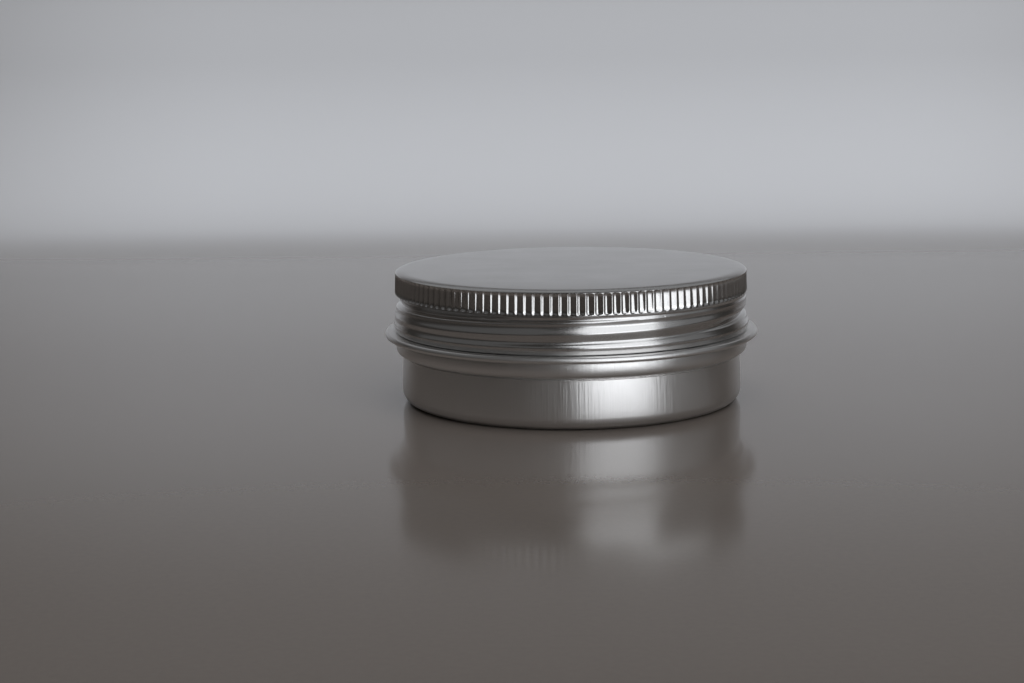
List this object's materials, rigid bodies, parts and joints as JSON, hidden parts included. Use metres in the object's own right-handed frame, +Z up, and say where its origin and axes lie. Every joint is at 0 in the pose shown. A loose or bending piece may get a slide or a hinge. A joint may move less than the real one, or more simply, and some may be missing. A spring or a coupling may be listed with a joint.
{
  "type": "round screw-top aluminum tin",
  "caption": "Shallow round aluminum container: drawn base can with folded flange and threaded neck, screw lid with fluted grip band, foam liner inside the lid.",
  "frame": {"origin": "middle of the foot ring that the tin stands on, on the tin's axis", "axes": "+Z up along the tin's axis and the lid's screw axis; -Y is the side that faces the camera in the picture, +X to its right"},
  "size_m": [0.072, 0.072, 0.0256],
  "materials": {
    "drawn_aluminium": "bare, satin, faint vertical draw lines",
    "rolled_aluminium": "bare, satin, fine rolling grain on the flat top",
    "white_foam": null
  },
  "bodies": {
    "can": {"base_can": "drawn_aluminium"},
    "liner": {"foam_liner": "white_foam"},
    "lid": {"screw_lid": "rolled_aluminium"}
  },
  "joints": [
    {"name": "lid_rise", "type": "slide", "parent": "can", "child": "liner", "axis": [0, 0, 1], "range_m": [0, 0.016]},
    {"name": "lid_turn", "type": "hinge", "parent": "liner", "child": "lid", "pos_m": [0, 0, 0], "axis": [0, 0, 1], "range_deg": [0, 1440]}
  ],
  "couplings": [
    {"joint": "lid_rise", "follows": "lid_turn", "m_per_rad": 0.00063662}
  ]
}
